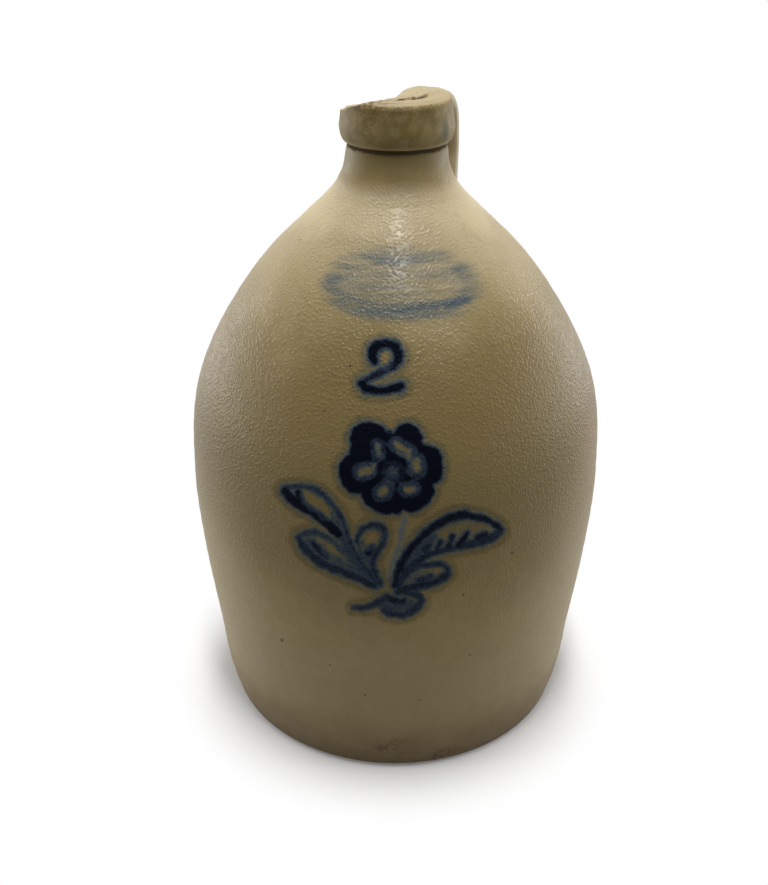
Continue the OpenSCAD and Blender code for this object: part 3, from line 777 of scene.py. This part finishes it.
# %% [markdown]
# The collar
#
# The mouth's thick ring was turned while the jug was still on the wheel, and its left rear edge has
# broken away. The frame holds the break as a scoop. Here the ring is spun dense and whole from the
# unbroken front, and every point above the scoop is pressed down onto it, with grain added and the
# outer edge worn round.

# %% Break
chip_turn = math.radians(130)
chip_start = -7 * mm
chip_slope = 0.234
chip_rough_run = 8 * mm
# The break is hollow towards the mouth
chip_hollow = 1.4 * mm
hollow_run = 14 * mm
# Its outer edge is worn down, from a little inside the collar's face
chip_wear = 1.6 * mm
chip_wear_run = 15 * mm
worn_band = 5.5 * mm
worn_blend = 3 * mm
collar_lo, collar_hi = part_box("lip_collar")
rim_z = collar_hi.z
collar_r = collar_hi.x


def chip_z(p):
    """Height of the broken face over a point of the collar."""
    out = p.x * math.cos(chip_turn) + p.y * math.sin(chip_turn) - chip_start
    grain = noise.noise(p * 420) * 0.30 * mm + noise.noise(p * 130) * 0.7 * mm
    radius = math.hypot(p.x, p.y)
    inwards = min(1, max(0, (collar_r - radius) / hollow_run))
    rough = min(1, max(0, out / chip_rough_run))
    outwards = min(1, max(0, (radius - collar_r + worn_band) / worn_blend))
    worn = min(1, max(0, out / chip_wear_run)) * outwards ** 2
    return rim_z - chip_slope * out - (chip_hollow * inwards - grain) * rough - chip_wear * worn


# %% Collar
collar_ring_gap = 0.7 * mm
collar_turn_steps = 260
collar_dip = 0.18 * mm
collar_bm = spun(smooth_runs(section_of("lip_collar"), collar_ring_gap), collar_turn_steps)
broken = collar_bm.verts.layers.float.new("broken")
for v in collar_bm.verts:
    top = chip_z(v.co)
    if v.co.z > top:
        v.co.z = top
        v[broken] = 1
    v.co.z = min(v.co.z, rim_z)
    radius = math.hypot(v.co.x, v.co.y)
    if radius > collar_r * 0.7 and v.co.z > collar_lo.z + 1 * mm:
        keep = 1 - collar_dip * (1 + noise.noise(v.co * 140)) / radius
        v.co.x *= keep
        v.co.y *= keep
bmesh.ops.dissolve_degenerate(collar_bm, edges=collar_bm.edges, dist=0.03 * mm)
collar_tree = BVHTree.FromBMesh(collar_bm)

# %% Collar finish
bare_clay = (0.36, 0.26, 0.17)
collar_olive = (0.150, 0.110, 0.034)
collar_tan = (0.220, 0.165, 0.066)
freckle_brown = (0.085, 0.050, 0.020)
drip_green = (0.060, 0.058, 0.020)


def collar_finish():
    finish = Finish("collar_clay")
    relief, _, _ = peel_relief(finish)
    mottle = finish.noise(7 * mm, detail=3, shift=2).between(0.35, 0.65)
    colour = finish.mix(mottle, collar_olive, collar_tan)
    z = finish.height()
    freckles = finish.noise(1.0 * mm, detail=2, shift=15).between(0.52, 0.64)
    front_left = finish.near((-0.018, -0.024, 0.340), 0.003, 0.020)
    below_rim = z.between(0.336, 0.343) * (1 - z.between(0.3455, 0.347))
    colour = finish.mix(freckles * (front_left * 0.55 + below_rim * 0.40), colour, freckle_brown)
    # Painted highlight along the rim's top edge, as a pale ragged line.
    rim_highlight_z = z + (finish.noise(1.4 * mm, detail=3, shift=8) - 0.5) * 0.005
    colour = finish.mix(rim_highlight_z.between(0.3456, 0.3472) * 0.80, colour, pale_clay)
    scuff = finish.near((-0.017, -0.018, 0.3475), 0.004, 0.017, squash=(0.7, 1, 2.2))
    colour = finish.mix(scuff * finish.noise(2.2 * mm, detail=3, shift=18).between(0.40, 0.60) * 0.8,
                        colour, freckle_brown)
    drip = finish.near((0.0235, -0.0165, 0.334), 0.0012, 0.0040, squash=(1, 1, 0.6))
    colour = finish.mix(drip * 0.85, colour, drip_green)
    colour = finish.mix((1 - z.between(0.3262, 0.3290)) * 0.55, colour, pale_clay)
    chip = finish.node("ShaderNodeAttribute", {"attribute_name": "broken"}, out="Fac")
    grains = finish.noise(1.6 * mm, detail=4, shift=16)
    raw = finish.mix(grains.between(0.4, 0.65), bare_clay, pale_clay)
    raw = finish.mix(finish.noise(5 * mm, shift=17).between(0.55, 0.70) * 0.5, raw, freckle_brown)
    chip_edge = chip.between(0.35, 0.75)
    colour = finish.mix(chip_edge, colour, raw)
    roughness = 0.56 + chip_edge * 0.28
    return finish.surface(colour, roughness, relief * 0.8 + grains * chip_edge * 0.8, 0.16 * mm)


finished("lip_collar_ring", collar_bm, "lip_collar", collar_finish())

# %% [markdown]
# The handle
#
# A strap handle is pulled from a lump of wet clay, laid over in one bend, and thumbed down at both
# ends. One ring of points is shaped into the strap's section and pushed along the route, a new
# extrusion for each step, as the potter's hand would draw it.

# %% Handle route
handle_turn = math.radians(21)
strap_w = 27 * mm
strap_t = 11 * mm
root_drop = 11 * mm
root_rise = math.radians(10)
root_run = 10 * mm
root_hidden = 9 * mm
crest_r = 18 * mm
crest_angle = math.radians(90)
back_r = 80 * mm
back_angle = math.radians(15)
drop_run = 42 * mm


def handle_route(step):
    """Stations of (distance out, height, heading) along the middle of the strap."""
    heading = root_rise
    root_aim = Vector((math.cos(heading), math.sin(heading)))
    here = Vector((collar_r, rim_z - root_drop)) - root_hidden * root_aim
    route = [(here.x, here.y, heading)]
    legs = [
        (root_hidden + root_run, 0), (crest_r * crest_angle, crest_angle),
        (back_r * back_angle, back_angle), (drop_run, 0)
    ]
    for length, bend in legs:
        count = max(1, round(length / step))
        for _ in range(count):
            heading -= bend / count / 2
            here = here + length / count * Vector((math.cos(heading), math.sin(heading)))
            heading -= bend / count / 2
            route.append((here.x, here.y, heading))
    return route


def station(place, thick, wide):
    """Matrix that puts a unit section at a station: x is over the strap, y across, z along it."""
    out, z, heading = place
    along = Vector((math.cos(heading), 0, math.sin(heading)))
    over = Vector((-math.sin(heading), 0, math.cos(heading)))
    columns = Matrix((over * thick, along.cross(over) * wide, along)).transposed().to_4x4()
    return Matrix.Rotation(math.pi / 2 - handle_turn, 4, "Z") @ Matrix.Translation((out, 0, z)) @ columns


station_gap = 1.4 * mm
route = handle_route(station_gap)
print("handle stations", len(route), "end", [round(v, 4) for v in route[-1]])


# %% Section of the strap
def strap_size(t):
    """Half thickness and half width of the strap along its length."""
    flare = abs(2 * t - 1) ** 4
    thick = strap_t / 2 * (0.97 + 0.03 * math.sin(9 * t))
    return thick, strap_w / 2 * (1 + 0.10 * flare) * (0.98 + 0.02 * math.sin(7 * t + 1))


def section_ring(bm, sides=72):
    """A ring shaped like the strap's section: domed outside, flat inside, two faint ridges."""
    ring = bmesh.ops.create_circle(bm, segments=sides, radius=1)["verts"]
    for v in ring:
        a = math.atan2(v.co.y, v.co.x)
        x, y = math.cos(a), math.sin(a)
        wide = math.copysign(abs(y) ** 0.66, y)
        if x > 0:
            thick = x * (0.975 - 0.025 * math.cos(3 * math.pi * wide))
        else:
            thick = -abs(x) ** 0.62
        v.co = (thick, wide, 0)
    return ring


def next_ring(bm, edges):
    """One extrusion of a ring: (its new points, its new edges)."""
    grown = bmesh.ops.extrude_edge_only(bm, edges=edges)["geom"]
    ring = [g for g in grown if isinstance(g, bmesh.types.BMVert)]
    new = set(ring)
    return ring, [g for g in grown if isinstance(g, bmesh.types.BMEdge) and new.issuperset(g.verts)]


# %% Strap
# The strap's far end lies below neck_z and beyond shoulder_r, and sinks no deeper than wall_hold
neck_z = 318 * mm
shoulder_r = 35 * mm
wall_hold = 3 * mm
pull_mark = 0.25 * mm
strap_bm = bmesh.new()
ring = section_ring(strap_bm)
edges = strap_bm.edges[:]
last = len(route) - 1
placed = station(route[0], *strap_size(0))
bmesh.ops.transform(strap_bm, matrix=placed, verts=ring)
first_edges = edges
for i in range(1, last + 1):
    ring, edges = next_ring(strap_bm, edges)
    following = station(route[i], *strap_size(i / last))
    bmesh.ops.transform(strap_bm, matrix=following @ placed.inverted(), verts=ring)
    placed = following
bmesh.ops.holes_fill(strap_bm, edges=first_edges + edges, sides=0)
for v in strap_bm.verts:
    radius = math.hypot(v.co.x, v.co.y)
    if v.co.z < neck_z and radius > shoulder_r:
        floor_z = float(np.interp(-radius, [-r for r in outer_r], outer_z)) - wall_hold
        v.co.z = max(v.co.z, floor_z)
    v.co.z += pull_mark * noise.noise(v.co * 120)
bmesh.ops.recalc_face_normals(strap_bm, faces=strap_bm.faces)


# %% Handle finish
handle_painted_highlight = (0.45, 0.39, 0.26)


def handle_finish(name, highlight_share):
    """The wall's clay with that share of painted highlight, drawn out along the strap."""
    finish = Finish(name)
    relief, peel, strength = peel_relief(finish)
    colour = finish.mix(highlight_share, clay_colour(finish, peel, strength), handle_painted_highlight)
    drawn = finish.noise(2.2 * mm, detail=2, stretch=(1, 1, 6), shift=21).between(0.4, 0.7)
    colour = finish.mix(drawn * 0.18, colour, olive_clay)
    return finish.surface(colour, 0.42 + drawn * 0.1, relief, 0.15 * mm)


# Painted highlight: the handle and the luting are lightened towards pale clay, the handle most.
handle_clay = handle_finish("handle_clay", 0.45)
luting_clay = handle_finish("luting_clay", 0.15)
finished("strap", strap_bm, "strap_handle", handle_clay)

# %% [markdown]
# Luting
#
# Clay parts are stuck with wet clay, worked into the angle with a thumb until it runs from one to
# the other. Each collar of clay here is a set of loops round the strap. The first lies on the strap,
# the next ones sweep outwards in a quarter turn, and the last lie under the skin of the wall.


# %% Luting
# How far its loops lie under the wall's skin, under the strap's, and how deep the thumb presses
under_wall = 1.5 * mm
under_strap = 1.6 * mm
thumb_mark = 0.5 * mm


def luting(place, size, way, tree, rise, reach_at):
    """A fillet of clay from the strap onto the wall that tree holds, in the direction way."""
    bm = bmesh.new()
    ring = section_ring(bm)
    units = [v.co.copy() for v in ring]
    edges = bm.edges[:]
    quarter = [math.pi / 2 * k / 8 for k in range(9)]
    loops = [(rise * (1 - math.sin(a)), 1 - math.cos(a)) for a in quarter]
    loops += [(-under_wall, 0.96), (-under_wall, -0.5), (rise * 0.9, -0.5)]
    origin = station(place, 0, 0)
    over, across = station(place, 1, 1).col[0].xyz, station(place, 1, 1).col[1].xyz
    first_edges = edges
    for k, (height, share) in enumerate(loops):
        if k:
            ring, edges = next_ring(bm, edges)
        for v, unit in zip(ring, units):
            out = -under_strap if share < 0 else reach_at(unit) * share - 0.4 * mm
            start = origin.translation + over * unit.x * (size[0] + out) + across * unit.y * (size[1] + out)
            hit = tree.ray_cast(start, way)[0]
            if hit is None:
                hit = tree.find_nearest(start)[0]
            v.co = hit - way * height
            worked = thumb_mark * noise.noise(v.co * 150) * share * (1 - share) * 4
            v.co -= way * max(worked, -0.3 * mm)
    bmesh.ops.bridge_loops(bm, edges=first_edges + edges)
    bmesh.ops.recalc_face_normals(bm, faces=bm.faces)
    return bm


root_reach = 3.2 * mm
root_place = route[round((root_hidden + root_run) / station_gap)]
root_way = -station(root_place, 1, 1).col[2].xyz
upper_bm = luting(root_place, strap_size(0), root_way, collar_tree, root_reach,
                  lambda unit: root_reach)
for v in upper_bm.verts:
    v.co.z = min(v.co.z, chip_z(v.co), rim_z - 0.3 * mm)
finished("root_fillet", upper_bm, "upper_luting", luting_clay)
foot_rise = 3.4 * mm
foot_reach = 3.6 * mm
# How much further the clay runs out below the strap
tail_reach = 11 * mm
foot_place = route[-round(drop_run / station_gap) + 2]
foot_way = station(foot_place, 1, 1).col[2].xyz
lower_bm = luting(foot_place, strap_size(1), foot_way, body_tree, foot_rise,
                  lambda unit: foot_reach + tail_reach * max(0, unit.x) ** 2)
finished("foot_fillet", lower_bm, "lower_luting", luting_clay)

# %% [markdown]
# Table, lights and background
#
# Three soft boxes hang overhead, a little behind the jug, so that the shoulder is light and the belly
# dim. Four narrow lamps draw the glints on the shoulder, the strongest down the middle, and two long
# panels behind the jug brighten its flanks. The table and the room look white to the camera and in
# reflections but send out little light of their own, so the jug keeps its shadow.

# %% Table
table_grey = (0.46, 0.455, 0.44)
table_white = (0.93, 0.93, 0.92)


def floor_finish():
    finish = Finish("table_white")
    seen = finish.seen()
    shader = finish.node("ShaderNodeBsdfPrincipled", {}, {
        "Base Color": finish.mix(seen, table_grey, table_white),
        "Roughness": 0.9, "Specular IOR Level": 0.0
    })
    glow = finish.node("ShaderNodeEmission", {}, {"Color": (1, 1, 1, 1), "Strength": 1.0})
    far = 1 - finish.near((0, 0, 0), 0.10, 0.145)
    floor = finish.node("ShaderNodeMixShader", {}, {0: seen * (far * 0.90 + 0.10), 1: shader, 2: glow})
    finish.node("ShaderNodeOutputMaterial", {}, {"Surface": floor})
    return finish.owner


floor_bm = bmesh.new()
bmesh.ops.create_grid(floor_bm, x_segments=1, y_segments=1, size=6)
floor_mesh = bpy.data.meshes.new("table_top")
floor_bm.to_mesh(floor_mesh)
floor_bm.free()
table_top = bpy.data.objects.new("table_top", floor_mesh)
scene.collection.objects.link(table_top)
floor_mesh.materials.append(floor_finish())


# %% Lamps
def panel(name, place, target, width, height, watts):
    """A rectangular lamp that faces its target."""
    data = bpy.data.lights.new(name, "AREA")
    data.shape = "RECTANGLE"
    data.size, data.size_y = width, height
    data.energy = watts
    lamp = bpy.data.objects.new(name, data)
    lamp.location = place
    lamp.rotation_euler = (Vector(target) - Vector(place)).to_track_quat("-Z", "Y").to_euler()
    scene.collection.objects.link(lamp)


panel("overhead_middle", (0.03, 0.35, 1.60), (0.03, 0.20, 0), 0.40, 1.00, 14)
panel("overhead_left", (-0.75, 0.35, 1.40), (-0.1, 0.10, 0.2), 0.70, 1.20, 2.0)
panel("overhead_right", (0.80, 0.35, 1.40), (0.1, 0.10, 0.2), 0.70, 1.20, 1.7)
panel("glint_middle", (0.04, -0.38, 1.60), (0.02, -0.05, 0.28), 0.07, 0.46, 8.5)
panel("glint_front", (0.03, -1.35, 1.40), (0.02, -0.05, 0.28), 0.07, 0.90, 1.0)
panel("glint_left", (-0.72, -0.36, 1.50), (0, -0.05, 0.28), 0.09, 0.36, 1.5)
panel("glint_right", (0.90, -0.33, 1.50), (0, -0.05, 0.28), 0.09, 0.36, 1.5)
panel("left_side", (-1.20, 0.45, 0.20), (0, 0, 0.12), 1.4, 0.42, 9.5)
panel("right_side", (1.20, 0.45, 0.20), (0, 0, 0.12), 1.4, 0.42, 9)

# %% Room
room = Finish("white_room", "worlds")
scene.world = room.owner
white = room.node("ShaderNodeBackground", {}, {"Color": (1, 1, 1, 1), "Strength": 1.0})
fill = room.node("ShaderNodeBackground", {}, {"Color": (1, 1, 1, 1), "Strength": 0.12})
sky = room.node("ShaderNodeMixShader", {}, {0: room.seen(), 1: fill, 2: white})
room.node("ShaderNodeOutputWorld", {}, {"Surface": sky})
